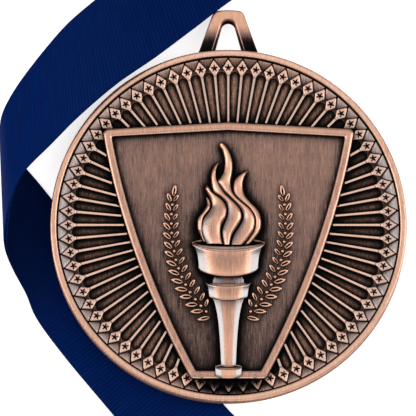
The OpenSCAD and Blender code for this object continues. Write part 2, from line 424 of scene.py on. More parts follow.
def shield():
    w = 1.55
    steps = [
        (-0.04, 2.2), (-0.01, 3.2), (0.0, 3.80), (0.03, 3.90), (0.15, 3.98), (0.28, 4.055), (0.38, 4.09), (w / 2, 4.10), (w - 0.38, 4.09),
        (w - 0.28, 4.055), (w - 0.15, 3.98), (w - 0.03, 3.90), (w, 3.80), (w + 0.03, 3.36), (w + 0.07, 3.24), (w + 0.16, PANEL),
    ]
    # painted highlight: the border's bevel rows are brighter and paler than its flat top; the base of its wall is
    # darker
    edge = [-0.2, -0.1, 0.0, 0.10, 0.16, 0.10, -0.02, -0.06, -0.02, 0.10, 0.16, 0.10, 0.0, -0.05, 0.0, 0.0]
    loops = []
    for e, _ in steps:
        k = min(1, max(0, e / w))
        loops.append(fillet(offset(OUTLINE, e), 1.15 * (1 - k) + 0.34 * k))
    loops = divide(loops, 0.9)
    s = Shape()
    s.add(np.vstack([with_z(p, z) for p, (_, z) in zip(loops, steps)]), strips(len(loops), len(loops[0])), np.repeat(edge, len(loops[0])), pale=np.repeat([0.3 if e > 0.05 else 0.0 for e in edge], len(loops[0])))
    v, f = cap(loops[-1], pitch=0.42)
    s.add(with_z(v, PANEL), f, 0.03 + 0.05 * ramp(v[:, 1], -4, 12) - 0.09 * ramp(-v[:, 1], 8, 26) + 0.02 * np.tanh(v[:, 0] / 6))
    # two small moulding marks on the foot's border, their bright pale tone a painted glint
    for x in (-5.2, 5.2):
        c = np.array([x, -30.05])
        out = [with_z(c + np.column_stack([np.cos(q), np.sin(q)]) * r, z)
               for r, z in ((0.36, 4.06), (0.33, 4.20), (0.22, 4.30), (0.1, 4.34)) for q in [np.arange(16) * math.pi / 8]]
        s.add(np.vstack(out + [[[x, -30.05, 4.345]]]), strips(4, 16) + [(48 + j, 48 + (j + 1) % 16, 64) for j in range(16)], 0.35, pale=0.9)
    return s


# ---------------------------------------------------------------- laurels

OUTER = [(-10.37, 8.09, -10.82, 5.68, 0.86), (-12.02, 6.41, -11.27, 4.57, 0.74), (-12.32, 4.46, -11.34, 2.74, 0.76), (-12.58, 2.43, -11.49, 0.82, 0.78),
         (-12.77, 0.52, -11.42, -1.01, 0.80), (-12.81, -1.47, -11.31, -2.81, 0.82), (-12.69, -3.34, -11.04, -4.71, 0.84), (-12.58, -5.21, -10.71, -6.36, 0.86),
         (-12.28, -7.16, -10.18, -8.12, 0.88), (-11.83, -9.04, -9.58, -9.88, 0.90), (-11.27, -10.84, -8.9, -11.49, 0.92), (-10.59, -12.63, -8.0, -12.94, 0.92),
         (-9.64, -14.32, -7.19, -14.26, 0.92), (-8.55, -15.92, -6.02, -15.78, 0.90), (-7.51, -17.26, -4.92, -17.08, 0.86), (-6.1, -18.86, -3.57, -18.34, 0.80)]
INNER = [(-9.73, 6.03, -10.82, 4.61, 0.62), (-9.84, 4.15, -10.82, 2.74, 0.62), (-9.92, 2.24, -10.89, 0.98, 0.64), (-9.8, 0.56, -10.82, -0.86, 0.64),
         (-9.69, -1.21, -10.78, -2.66, 0.64), (-9.47, -2.95, -10.52, -4.41, 0.64), (-9.02, -4.64, -10.14, -6.09, 0.64), (-8.57, -6.32, -9.73, -7.77, 0.64),
         (-8.0, -7.89, -9.17, -9.42, 0.66), (-7.33, -9.38, -8.45, -10.95, 0.66), (-6.54, -10.8, -7.59, -12.41, 0.68), (-5.6, -12.18, -6.69, -13.82, 0.66),
         (-4.66, -13.42, -5.57, -15.1, 0.62), (-3.98, -14.66, -4.55, -16.3, 0.56)]
BERRIES = [(-11.01, 4.02), (-11.18, 2.12), (-11.19, 0.25), (-11.12, -1.63), (-10.93, -3.37), (-10.63, -5.23), (-10.29, -6.97), (-9.77, -8.65),
           (-9.13, -10.34), (-8.38, -11.87), (-7.52, -13.36), (-6.47, -14.76), (-5.39, -16.06), (-4.33, -17.18)]


def laurels():
    s = Shape()
    n = 28
    u = np.arange(n) / n
    ang = 2 * math.pi * u
    wider = 1.2
    # a pointed oval: 0 at the base, 1 at the tip, half width w
    ox = 0.5 - 0.5 * np.cos(ang)
    oy = np.sin(ang) * (1 - 0.18 * ox) * 0.5
    sx = 0.12 + 0.60 * ox
    sy = np.sin(ang) * 0.5 * 0.34
    for mirror in (1, -1):
        for tx, ty, bx, by, w in OUTER + INNER:
            t, b = np.array([tx, ty]), np.array([bx, by])
            d = t - b
            l = np.linalg.norm(d)
            d /= l
            e = np.array([-d[1], d[0]])

            def lay(x, y, k=0.0):
                return b + np.outer(x * l, d) + np.outer(y * w * wider, e)

            cx, cy = 0.5, 0.0
            rings = []
            for k, z in ((1.06, 3.15), (1.0, 3.44), (0.93, 3.60), (0.86, 3.67)):
                rings.append(with_z(lay(cx + (ox - cx) * k, oy * k), z))
            rings.append(with_z(lay((ox * 0.86 + 0.07 + sx) / 2, (oy * 0.86 + sy) / 2), 3.70))
            for k, z in ((1.06, 3.66), (0.95, 3.58), (0.82, 3.28), (0.4, 3.24)):
                m = 0.13 + 0.31
                rings.append(with_z(lay(m + (sx - m) * k, sy * k), z))
            v = np.vstack(rings + [with_z(lay(np.array([0.44]), np.array([0.0])), 3.24)])
            f = strips(len(rings), n)
            k = (len(rings) - 1) * n
            f += [(k + j, k + (j + 1) % n, len(v) - 1) for j in range(n)]
            v[:, 0] *= mirror
            s.add(v, f, np.concatenate([np.full(2 * n, -0.1), np.full(4 * n, 0.26), np.full(len(v) - 6 * n, -0.75)]))
        for x, y in BERRIES:
            q = np.arange(14) * 2 * math.pi / 14
            rings = [with_z(np.column_stack([x + r * np.cos(q), y + r * np.sin(q)]), z)
                     for r, z in ((0.37, 3.15), (0.36, 3.40), (0.30, 3.56), (0.18, 3.66), (0.06, 3.70))]
            v = np.vstack(rings + [[[x, y, 3.705]]])
            f = strips(5, 14) + [(56 + j, 56 + (j + 1) % 14, 70) for j in range(14)]
            v[:, 0] *= mirror
            s.add(v, f, 0.14)
    return s


# ---------------------------------------------------------------- torch


def turned(s, sections, bias=0.0, n=60, z0=3.12, close_bottom=True, pale_from=0.55):
    """A relief with a gently rounded face and steep sides: sections are (y at the sides, half width, sag of the front, crest height)."""
    q = np.linspace(0, math.pi, n - 4)
    u = np.concatenate([[1.0, 0.997], np.cos(q) * 0.993, [-0.997, -1.0]])
    a = np.abs(u)
    sag_u = np.sqrt(np.clip(1 - u * u, 0, 1))
    rows, paler = [], []
    for y, hw, sag, crest in sections:
        high = crest - z0
        drop = min(0.42, 0.15 * hw / high + 0.06)
        face = 1 - 0.02 * np.minimum(a / 0.45, 1) ** 2 - (drop - 0.02) * np.clip((a - 0.45) / 0.545, 0, 1) ** 1.55
        face = np.where(a > 0.9985, 0.0, np.where(a > 0.995, face * 0.72, face))
        rows.append(np.column_stack([hw * u, y - sag * sag_u, z0 + high * face]))
        # painted highlight: the steep sides take the paler tone, for the white glint of the side lights
        paler.append(ramp(a, pale_from, pale_from + 0.2))
    if close_bottom:
        y, hw, sag, crest = sections[-1]
        last = rows[-1]
        for k, zz in ((0.985, 0.86), (0.97, 0.35), (0.96, 0.0)):
            rows.append(np.column_stack([last[:, 0] * k, last[:, 1] + (1 - k) * 0.8 + 0.0 * sag, z0 - 0.05 + (last[:, 2] - z0) * zz]))
            paler.append(paler[-1] * 0.5)
    s.add(np.vstack(rows), strips(len(rows), n, wrap=False), bias, pale=np.concatenate(paler))


def lip(s, y, hw, front, rear, z_side, z_front, z_rear, wall, depth, n=96):
    """The open mouth of a cup as a tilted ring: outer bead, flat rim, dark inside."""
    q = np.arange(n) * 2 * math.pi / n
    sn = np.sin(q)
    sag = np.where(sn > 0, front, rear)
    zz = np.where(sn > 0, z_side + (z_front - z_side) * np.abs(sn) ** 0.75, z_side + (z_rear - z_side) * np.abs(sn) ** 0.75)
    rows, bias = [], []
    for k, dz, b in ((1.0, -0.30, 0.0), (1.012, -0.12, 0.1), (1.0, 0.0, 0.2), (0.985, 0.05, 0.2), (0.962, 0.03, 0.0), (0.955, -0.03, -0.1),
                     (0.94, -0.04, 0.0), (1 - wall + 0.02, -0.05, 0.0), (1 - wall, -0.10, -0.4), (1 - wall - 0.03, -depth * 0.5, -0.9), (1 - wall - 0.05, -depth, -0.9), (0.3, -depth, -0.9)):
        kk = 1 - (1 - k) * 1.0
        rows.append(np.column_stack([hw * kk * np.cos(q), y - sag * sn * (1 - np.minimum((1 - kk) * 4.2, 0.62)), np.maximum(zz + dz, 3.0)]))
        bias += [b] * n
    v = np.vstack(rows + [[[0, y, z_side - depth]]])
    f = strips(len(rows), n)
    k = (len(rows) - 1) * n
    f += [(k + j, k + (j + 1) % n, len(v) - 1) for j in range(n)]
    s.add(v, f, np.array(bias + [-0.9]), pale=0.45)


def torch():
    s = Shape()
    # bowl, with a flared mouth
    turned(s, [(-3.72, 7.14, 1.86, 5.42), (-3.86, 7.06, 1.86, 5.46), (-4.1, 6.86, 1.86, 5.46), (-4.5, 6.58, 1.86, 5.42), (-5.1, 6.34, 1.86, 5.38), (-5.8, 6.12, 1.86, 5.36),
               (-6.6, 5.96, 1.86, 5.34), (-7.4, 5.87, 1.86, 5.34), (-8.1, 5.82, 1.85, 5.35), (-8.48, 5.82, 1.85, 5.36), (-8.60, 5.78, 1.84, 5.30), (-8.67, 5.70, 1.82, 5.20)], 0.15, pale_from=0.6)
    lip(s, -3.69, 7.14, 1.86, 0.85, 3.75, 5.47, 4.35, 0.115, 1.5)
    # neck between bowl and collar
    turned(s, [(-8.9, 2.45, 0.5, 4.6), (-9.7, 2.55, 0.9, 4.7), (-10.4, 2.75, 1.0, 4.75), (-10.9, 2.95, 1.0, 4.75), (-11.6, 3.1, 1.0, 4.7)], 0.14, pale_from=0.35)
    # collar
    turned(s, [(-11.55, 4.52, 0.95, 5.10), (-11.65, 4.48, 0.95, 5.14), (-11.85, 4.30, 0.94, 5.12), (-12.3, 4.06, 0.92, 5.06), (-12.9, 3.90, 0.90, 5.04), (-13.5, 3.82, 0.88, 5.04),
               (-14.0, 3.78, 0.86, 5.04), (-14.22, 3.76, 0.85, 4.99), (-14.3, 3.68, 0.84, 4.90)], 0.06)
    lip(s, -11.51, 4.52, 0.95, 0.36, 3.6, 5.12, 3.9, 0.12, 0.9, n=64)
    # handle
    hy = [(-14.0, 3.25), (-14.5, 3.14), (-15.0, 2.92), (-15.6, 2.68), (-16.4, 2.48), (-17.6, 2.24), (-19.2, 2.0), (-21.0, 1.82), (-23.0, 1.67), (-25.0, 1.56), (-26.8, 1.47), (-27.8, 1.42), (-28.15, 1.3), (-28.4, 1.0), (-28.5, 0.6)]
    turned(s, [(y, w, 0.2 if y > -27.5 else 0.12, 3.2 + (1.42 + 0.10 * ramp(-y, 15.5, 17.5)) * min(1, w / 1.4) ** 0.5) for y, w in hy], 0.05, n=48, pale_from=0.42)
    # foot cap
    turned(s, [(-28.30, 2.62, 0.55, 4.9), (-28.40, 2.60, 0.55, 4.95), (-28.6, 2.56, 0.55, 4.95), (-29.3, 2.52, 0.55, 4.93), (-29.8, 2.48, 0.55, 4.92), (-30.0, 2.44, 0.54, 4.84), (-30.08, 2.36, 0.52, 4.7)], 0.06, n=52, pale_from=0.4)
    lip(s, -28.27, 2.62, 0.54, 0.50, 4.3, 4.96, 4.4, 0.12, 0.4, n=56)
    return s


# Flame tongues: points down each side from the tip, as (left x, left y, right x, right y), and the height of the crest
FLAME = [
    ([(-4.31, 5.7, -4.22, 5.68), (-4.2, 5.24, -3.88, 5.18), (-4.09, 4.67, -3.66, 4.64), (-4.13, 4.03, -3.6, 3.95), (-4.5, 3.35, -3.79, 3.23), (-5.07, 2.54, -4.22, 2.58),
      (-5.63, 1.85, -4.76, 1.91), (-5.91, 1.22, -5.05, 1.31), (-5.99, 0.42, -5.21, 0.42), (-5.94, -0.59, -5.26, -0.59), (-5.74, -1.19, -5.21, -1.25), (-5.35, -1.99, -5.01, -2.22),
      (-4.84, -2.91, -4.54, -3.26)], 4.7, 5.1),
    ([(-4.17, 8.13, -4.05, 8.09), (-4.39, 7.54, -3.83, 7.48), (-4.17, 6.79, -3.38, 6.73), (-3.72, 5.99, -2.65, 6.1), (-3.3, 5.13, -1.8, 5.53), (-3.1, 4.32, -1.01, 4.72),
      (-3.16, 3.58, -0.53, 3.92), (-3.57, 2.77, -0.33, 3.12), (-4.22, 1.91, -0.4, 2.26), (-4.76, 1.05, -0.68, 1.39), (-4.99, 0.19, -1.13, 0.65), (-5.05, -0.59, -1.43, 0.02),
      (-4.95, -1.53, -1.57, -0.73), (-4.62, -2.57, -1.52, -1.99), (-4.11, -3.54, -1.16, -3.6)], 4.9, 5.6),
    ([(-2.14, 12.5, -1.99, 12.4), (-2.65, 11.9, -2.25, 11.78), (-3.01, 11.21, -2.48, 10.98), (-3.21, 10.41, -2.53, 10.06), (-3.28, 9.49, -2.39, 9.2), (-3.21, 8.57, -2.08, 8.45),
      (-3.04, 7.54, -1.52, 7.54), (-2.65, 6.56, -0.68, 6.33), (-1.58, 5.81, 0.34, 5.3), (-0.73, 5.01, 1.18, 4.49), (-0.2, 4.21, 1.94, 3.63), (0, 3.29, 2.39, 2.71), (-0.04, 2.48, 2.51, 1.8),
      (-0.23, 1.57, 2.33, 0.93), (-0.56, 0.65, 1.85, 0.07), (-0.9, -0.27, 1.29, -0.84), (-1.13, -1.19, 0.67, -1.88), (-1.07, -2.34, 0.34, -2.91), (-0.79, -3.72, 0.17, -3.77)], 4.7, 5.5),
    ([(-1.69, 16.2, -1.07, 16.4), (-1.46, 15.63, -0.45, 15.69), (-1.07, 15.06, 0.08, 14.75), (-0.79, 14.2, 0.5, 13.62), (-0.58, 13.22, 0.71, 12.59), (-0.58, 12.13, 0.73, 11.44),
      (-0.69, 11.21, 0.67, 10.64), (-0.9, 10.41, 0.57, 9.95), (-1.43, 9.55, 0.41, 9.32), (-1.97, 8.74, 0.35, 8.74), (-1.46, 7.77, 0.37, 7.88), (-0.85, 6.85, 0.53, 7.08), (-0.06, 6.04, 0.86, 6.33),
      (0.67, 5.3, 1.46, 5.56), (1.24, 4.72, 2.14, 4.92), (1.91, 4.03, 2.92, 4.26), (2.56, 3.23, 3.77, 3.54), (2.98, 2.37, 4.5, 2.71), (3.07, 1.62, 4.95, 1.85), (2.84, 0.82, 5.12, 0.99),
      (2.36, -0.04, 5.09, 0.07), (1.74, -0.96, 4.84, -0.96), (1.12, -1.88, 4.22, -1.94), (0.73, -2.8, 3.43, -2.97), (0.56, -3.77, 2.64, -3.77)], 4.6, 5.4),
    ([(3.65, 10.98, 3.74, 10.87), (2.98, 10.61, 3.23, 10.06), (2.08, 9.92, 2.93, 9.32), (1.52, 9.2, 2.75, 8.45), (1.18, 8.4, 2.75, 7.59), (1.07, 7.54, 2.89, 6.73), (1.09, 6.79, 3.2, 5.93),
      (1.29, 6.1, 3.77, 5.18), (1.8, 5.45, 4.61, 4.26), (2.59, 4.78, 5.4, 3.46), (3.43, 4.21, 5.99, 2.48), (4.22, 3.46, 6.29, 1.45), (4.89, 2.6, 6.35, 0.53), (5.29, 1.68, 6.26, -0.39),
      (5.41, 0.76, 6.04, -1.13), (5.34, -0.27, 5.51, -1.99), (5.09, -1.07, 4.95, -2.68), (4.55, -1.88, 4.44, -3.26), (3.88, -2.8, 3.99, -3.6), (3.2, -3.66, 3.54, -3.77)], 4.6, 5.15),
]


def flame():
    s = Shape()
    across = np.array([0.0, 0.0, 0.02, 0.08, 0.18, 0.30, 0.44, 0.58, 0.71, 0.82, 0.90, 0.96, 1.0, 1.0])
    lift = np.array([0.0, 0.50, 0.64, 0.74, 0.85, 0.93, 0.98, 1.0, 0.985, 0.94, 0.86, 0.74, 0.50, 0.0])
    # painted highlight: each tongue's left slope, and more faintly its right edge, take the paler tone as a white glint
    paler = np.array([0.9, 1.0, 1.0, 1.0, 0.75, 0.35, 0.08, 0, 0, 0, 0.1, 0.2, 0.2, 0.2])
    for pts, z_tip, z_base in FLAME:
        c = spline(pts, 5)
        rows, white = [], []
        m = len(c)
        for i, (lx, ly, rx, ry) in enumerate(c):
            t = i / (m - 1)
            w = math.hypot(rx - lx, ry - ly)
            crest = z_tip + (z_base - z_tip) * min(1, t * 1.6)
            crest = 2.9 + (crest - 2.9) * min(1, 0.62 + w / 1.6)
            lx, rx = lx - 0.13, rx + 0.10
            x = lx + (rx - lx) * across
            y = ly + (ry - ly) * across - 0.33 - 0.15 * ramp(t, 0.85, 1.0)
            white.append(paler * ramp(t, 0.15, 0.55))
            floor = 2.3
            rows.append(np.column_stack([x, y, floor + (crest - floor) * (0.55 + 0.45 * lift) * (lift > 0) + 0 * lift]))
        # close the tip
        tip = np.repeat(rows[0].mean(0)[None], len(across), 0)
        tip[:, 1] += 0.06
        tip[:, 2] = rows[0][:, 2] * 0.9
        tip[[0, -1], 2] = 2.3
        rows.insert(0, tip)
        white.insert(0, 0 * paler)
        s.add(np.vstack(rows), strips(len(rows), len(across), wrap=False), 0.02, pale=np.concatenate(white))
    return s


# ---------------------------------------------------------------- hanging loop


def hanging_loop():
    def arc(cx, cy, r, a0, a1, n):
        return [(cx + r * math.cos(math.radians(a0 + (a1 - a0) * i / n)), cy + r * math.sin(math.radians(a0 + (a1 - a0) * i / n))) for i in range(n + 1)]

    outer = np.array([(6.02, 34.15)] + arc(1.75, 41.5, 1.55, 21, 86, 9) + [(0, 43.14)] + arc(-1.75, 41.5, 1.55, 94, 159, 9) + [(-6.02, 34.15)])
    front = np.array([(3.30, 34.1)] + arc(0, 39.75, 1.52, 16, 164, 14) + [(-3.30, 34.1)])
    rear = np.array([(2.86, 34.1)] + arc(0, 39.33, 1.38, 16, 164, 14) + [(-2.86, 34.1)])
    outer, front, rear = ccw(outer), ccw(front), ccw(rear)
    s = Shape()
    o = [(0.30, 0.8), (0.12, 0.83), (0.03, 0.92), (0.0, 1.05), (0.0, 2.0), (0.0, 2.88), (0.03, 3.02), (0.10, 3.12), (0.2, 3.17), (0.34, 3.18)]
    loops = divide([offset(outer, e) for e, _ in o], 0.5)
    # painted highlight: the outer bevel rows get a brighter bias, as bright edge lines along the loop
    s.add(np.vstack([with_z(p, z) for p, (_, z) in zip(loops, o)]), strips(len(loops), len(loops[0])), np.repeat([0, 0, 0, 0, 0.1, 0.5, 0.62, 0.5, 0.15, 0.0], len(loops[0])), up=False)
    e = [(front, -0.34, 3.18), (front, -0.20, 3.17), (front, -0.09, 3.13), (front, -0.02, 3.04), (front, 0.02, 2.92), (rear * 0.5 + front * 0.5, 0.0, 2.3), (rear, 0.0, 1.5), (rear, -0.01, 1.0), (rear, -0.06, 0.87), (rear, -0.22, 0.8)]
    eye = divide([offset(p, k) for p, k, _ in e], 0.5)
    # painted highlight: a bright line along the eye's front edge; the walls inside the eye are dark
    s.add(np.vstack([with_z(p, z[2]) for p, z in zip(eye, e)]), strips(len(eye), len(eye[0])),
          np.concatenate([np.full(len(eye[0]), 0.0), np.full(2 * len(eye[0]), 0.45), np.full(len(eye[0]), 0.1), np.full(6 * len(eye[0]), -0.75)]), up=False)
    v, f = cap(loops[-1], [eye[0]], 0.4)
    s.add(with_z(v, 3.18), f)
    v, f = cap(loops[0], [eye[-1]], 0.6)
    f = [tuple(reversed(t)) if np.cross(np.append(v[t[1]] - v[t[0]], 0), np.append(v[t[2]] - v[t[0]], 0))[2] > 0 else t for t in f]
    s.add(with_z(v, 0.8), f, up=False)
    return s


medal = {
    "medal_disc": (disc(), 40), "ray_heads": (heads(), 40), "shield": (shield(), 40), "laurel_branches": (laurels(), 45),
    "torch": (torch(), 45), "torch_flame": (flame(), 50), "hanging_loop": (hanging_loop(), 40),
}

# ---------------------------------------------------------------- patina from the relief's own height, with painted light and shade in places

STEP = 0.14
X0, Y0, X1, Y1 = -37.0, -37.0, 37.0, 45.0
nx, ny = int((X1 - X0) / STEP) + 1, int((Y1 - Y0) / STEP) + 1


def height_map():
    verts, polys, k = [], [], 0
    for s, _ in medal.values():
        v = np.vstack(s.v)
        verts += v.tolist()
        polys += [tuple(i + k for i in f) for f in s.f]
        k += len(v)
    tree = BVHTree.FromPolygons(verts, polys)
    down, cast = Vector((0, 0, -1)), tree.ray_cast
    h = np.zeros((ny, nx))
    for j in range(ny):
        y = Y0 + j * STEP
        for i in range(nx):
            x = X0 + i * STEP
            if x * x + y * y > 1240 and not (abs(x) < 6.2 and y > 33):
                continue
            hit = cast(Vector((x, y, 12.0)), down)[0]
            if hit is not None:
                h[j, i] = hit.z
    return h


def blur(h, sigma):
    k = int(3 * sigma / STEP) + 1
    w = np.exp(-0.5 * (np.arange(-k, k + 1) * STEP / sigma) ** 2)
    w /= w.sum()
    for axis in (0, 1):
        p = np.pad(h, [(k, k) if a == axis else (0, 0) for a in (0, 1)], mode="edge")
        h = sum(wi * (p[i:i + h.shape[0], :] if axis == 0 else p[:, i:i + h.shape[1]]) for i, wi in enumerate(w))
    return h


HEIGHT = height_map()
SOFT = [(blur(HEIGHT, 0.38), 0.62), (blur(HEIGHT, 1.0), 0.62), (blur(HEIGHT, 2.4), 0.22)]


def sample(m, x, y):
    fx, fy = np.clip((x - X0) / STEP, 0, nx - 1.001), np.clip((y - Y0) / STEP, 0, ny - 1.001)
    i, j = fx.astype(int), fy.astype(int)
    u, v = fx - i, fy - j
    return (m[j, i] * (1 - u) + m[j, i + 1] * u) * (1 - v) + (m[j + 1, i] * (1 - u) + m[j + 1, i + 1] * u) * v


def patina_and_painted_light(s):
    """How far each point stands out of what is round it: below 0 is a dark recess, above 0 is relieved metal. Some
    places also get painted shade and painted highlights on top of this.
    """
    v, bias = np.vstack(s.v), np.concatenate(s.b)
    x, y, z = v.T
    rel = bias.copy()
    for m, w in SOFT:
        rel += w * (z - sample(m, x, y))
    r = np.hypot(x, y)
    # painted shade: the side wall is given a fixed tone, darker towards the bottom where the bright floor lights it
    side = (r > 34.9) & (y < 34.9)
    rel = np.where(side, 0.07 + 0.13 * ramp(z, 2.2, 3.7), rel)
    # painted highlight: the rim's top is capped, with a painted light line at its inner edge and painted light towards
    # the top and bottom of the disc
    rel = np.where((r > 33.75) & (r < 34.95) & (z > 3.7), np.minimum(rel, 0.33 + 0.14 * (r < 33.92) + 0.12 * ramp(y, 5, 33) + 0.07 * ramp(-y, 12, 32)), rel)
    rel = np.where((z < 0.9) & (r < 35.01), 0.10, rel)  # the back
    rel = np.where((z < 0.5) & (r > 32.5) & (r < 33.3), -0.2, rel)
    # painted shade together with patina: rays and heads below the shield's foot are darkened
    foot = ramp(-y, 28.5, 31.5) * (1 - ramp(np.abs(x), 2.5, 9.0)) * (1 - 0.5 * ramp(-y, 31.6, 33.2)) * (r < 33.6) * (z < 3.9) * (z > 1.2)
    rel = rel - 0.62 * foot
    # painted shade: the loop's neck is darkened under the rim, less along its bright edge lines
    neck = (r > 34.2) & (np.abs(x) < 6.3) & (y > 33) & (z < 3.5) & (z > 1.0)
    line = np.where(bias > 0.4, 0.42, 1.0)
    rel = np.where(neck, np.minimum(rel, 0.42) - 0.95 * line * (1 - ramp(y, 35.2, 40.4)), rel)
    loop = (r > 35.02) & (np.abs(x) < 6.3) & (y > 33)
    rel = np.where(loop & (z < 1.2), 0.12, rel)
    rel = np.where(loop & (z < 2.1) & (bias > -0.5), np.maximum(rel, 0.02), rel)
    # the border's flat top is held darker so its painted bevel highlights stand out, a little lighter towards its top
    flat = (np.isclose(z, 4.09) & np.isclose(bias, -0.02)) | (np.isclose(z, 4.10) & np.isclose(bias, -0.06))  # the shield's border
    rel = np.where(flat, np.minimum(rel, 0.24 + 0.10 * ramp(y, 12, 17)), rel)
    return np.clip(rel, -1, 0.52)


# ---------------------------------------------------------------- materials


def nodes(name):
    m = bpy.data.materials.new(name)
    m.use_nodes = True
    t = m.node_tree
    b = t.nodes["Principled BSDF"]

    def node(kind, **sockets):
        n = t.nodes.new(kind)
        for k, v in sockets.items():
            if k in n.inputs.keys():
                n.inputs[k].default_value = v
            else:
                setattr(n, k, v)
        return n

    return m, b, node, t.links.new


def colours(node, stops):
    r = node("ShaderNodeValToRGB")
    e = r.color_ramp.elements
    while len(e) < len(stops):
        e.new(0.5)
    for k, (p, c) in zip(e, stops):
        k.position, k.color = p, (*c, 1)
    return r


def mapped(node, link, scale):
    tc = node("ShaderNodeTexCoord")
    mp = node("ShaderNodeMapping")
    mp.inputs["Scale"].default_value = scale
    link(tc.outputs["Object"], mp.inputs["Vector"])
    return mp


def math_node(node, link, op, a, b, c=None):
    n = node("ShaderNodeMath", operation=op)
    for k, v in enumerate((a, b, c)):
        if v is None:
            continue
        if isinstance(v, (int, float)):
            n.inputs[k].default_value = v
        else:
            link(v, n.inputs[k])
    return n.outputs[0]


COPPER = [
    (0.0, (0.0035, 0.003, 0.0035)), (0.22, (0.009, 0.007, 0.007)), (0.37, (0.045, 0.029, 0.025)), (0.50, (0.185, 0.115, 0.097)),
    (0.60, (0.30, 0.172, 0.130)), (0.74, (0.55, 0.304, 0.215)), (0.86, (0.71, 0.392, 0.266)), (1.0, (0.84, 0.478, 0.328)),
]
BROWN = [
    (0.0, (0.0035, 0.003, 0.0035)), (0.22, (0.009, 0.007, 0.006)), (0.37, (0.045, 0.026, 0.020)), (0.50, (0.175, 0.094, 0.066)),
    (0.60, (0.31, 0.172, 0.122)), (0.74, (0.60, 0.345, 0.245)), (0.86, (0.76, 0.455, 0.330)), (1.0, (0.90, 0.58, 0.44)),
]


def bronze(name, streak=(9000, 420, 900), streak_amount=0.20, mottle=0.10, rough=(0.52, 0.27), stops=COPPER, wide=(2300, 110, 300), wide_amount=0.10):
    m, b, node, link = nodes(name)
    pale = node("ShaderNodeAttribute", attribute_name="pale")
    at = node("ShaderNodeAttribute", attribute_name="relief")
    shine = node("ShaderNodeAttribute", attribute_name="metal")
    lines = node("ShaderNodeTexNoise", Scale=1.0, Detail=3.0, Roughness=0.6)
    link(mapped(node, link, streak).outputs[0], lines.inputs["Vector"])
    grain = node("ShaderNodeTexNoise", Scale=3600.0, Detail=3.0, Roughness=0.65)
    tc = node("ShaderNodeTexCoord")
    link(tc.outputs["Object"], grain.inputs["Vector"])
    cloud = node("ShaderNodeTexNoise", Scale=190.0, Detail=3.0, Roughness=0.55)
    link(tc.outputs["Object"], cloud.inputs["Vector"])
    marks = math_node(node, link, "MULTIPLY", lines.outputs["Fac"], streak_amount * 2)
    marks = math_node(node, link, "MULTIPLY_ADD", grain.outputs["Fac"], mottle * 2, marks)
    marks = math_node(node, link, "MULTIPLY_ADD", cloud.outputs["Fac"], 0.12, marks)
    broad = node("ShaderNodeTexNoise", Scale=1.0, Detail=2.0, Roughness=0.5)
    link(mapped(node, link, wide).outputs[0], broad.inputs["Vector"])
    marks = math_node(node, link, "MULTIPLY_ADD", broad.outputs["Fac"], wide_amount * 2, marks)
    marks = math_node(node, link, "SUBTRACT", marks, streak_amount + mottle + 0.06 + wide_amount)
    calm = math_node(node, link, "MULTIPLY_ADD", shine.outputs["Fac"], 0.65, 0.35)
    level = math_node(node, link, "MULTIPLY_ADD", marks, calm, at.outputs["Fac"])
    fac = node("ShaderNodeMapRange")
    fac.inputs["From Min"].default_value = -0.6
    fac.inputs["From Max"].default_value = 0.6
    link(level, fac.inputs["Value"])
    tone = colours(node, stops)
    # painted highlight: where 'pale' is set, the copper tone is mixed towards this grey so the metal reads white, as
    # under the side lights' glint
    painted_highlight_tone = colours(node, [
        (0.0, (0.0035, 0.003, 0.0035)), (0.22, (0.009, 0.008, 0.008)), (0.37, (0.042, 0.035, 0.034)), (0.50, (0.16, 0.140, 0.137)),
        (0.60, (0.23, 0.207, 0.203)), (0.74, (0.32, 0.290, 0.282)), (1.0, (0.39, 0.352, 0.341)),
    ])
    link(fac.outputs[0], painted_highlight_tone.inputs["Fac"])
    two = node("ShaderNodeMix", data_type="RGBA")
    link(pale.outputs["Fac"], two.inputs[0])
    link(tone.outputs["Color"], two.inputs[6])
    link(painted_highlight_tone.outputs["Color"], two.inputs[7])
    link(fac.outputs[0], tone.inputs["Fac"])
    link(two.outputs[2], b.inputs["Base Color"])
    rg = node("ShaderNodeMapRange")
    rg.inputs["From Min"].default_value = 0.2
    rg.inputs["From Max"].default_value = 0.8
    rg.inputs["To Min"].default_value = rough[0]
    rg.inputs["To Max"].default_value = rough[1]
    link(fac.outputs[0], rg.inputs["Value"])
    link(rg.outputs[0], b.inputs["Roughness"])
    link(shine.outputs["Fac"], b.inputs["Metallic"])
    b.inputs["Specular IOR Level"].default_value = 0.0
    b.inputs["Specular Tint"].default_value = (0.55, 0.46, 0.43, 1)
    both = math_node(node, link, "MULTIPLY_ADD", lines.outputs["Fac"], 0.6, grain.outputs["Fac"])
    bump = node("ShaderNodeBump", Strength=0.35, Distance=0.00003)
    link(both, bump.inputs["Height"])
    link(bump.outputs[0], b.inputs["Normal"])
    return m


M_BRONZE = bronze("antique bronze", streak_amount=0.27)
M_RADIAL = bronze("antique bronze ground", streak=(6000, 700, 900), streak_amount=0.27, mottle=0.16, stops=BROWN, wide_amount=0.07)


def put(name, shape, sharp, mat):
    ob = shape.build(name, sharp)
    me = ob.data
    a = me.attributes.new("relief", "FLOAT", "POINT")
    a.data.foreach_set("value", patina_and_painted_light(shape).astype(np.float32))
    v = np.vstack(shape.v)
    rad = np.hypot(v[:, 0], v[:, 1])
    a = me.attributes.new("metal", "FLOAT", "POINT")
    a.data.foreach_set("value", (1 - 0.88 * ((rad > 34.97) & (v[:, 2] < 3.66) & (v[:, 2] > 0.05) & (v[:, 1] < 34.9))).astype(np.float32))
    a = me.attributes.new("pale", "FLOAT", "POINT")
    a.data.foreach_set("value", np.concatenate(shape.p).astype(np.float32))
    me.materials.append(mat)
    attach(ob, "medal")
    return ob


for name, (shape, sharp) in medal.items():
    put(name, shape, sharp, M_RADIAL if name in ("medal_disc", "ray_heads") else M_BRONZE)
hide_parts("medal_casting")

# ---------------------------------------------------------------- ribbon

LIE = -0.6
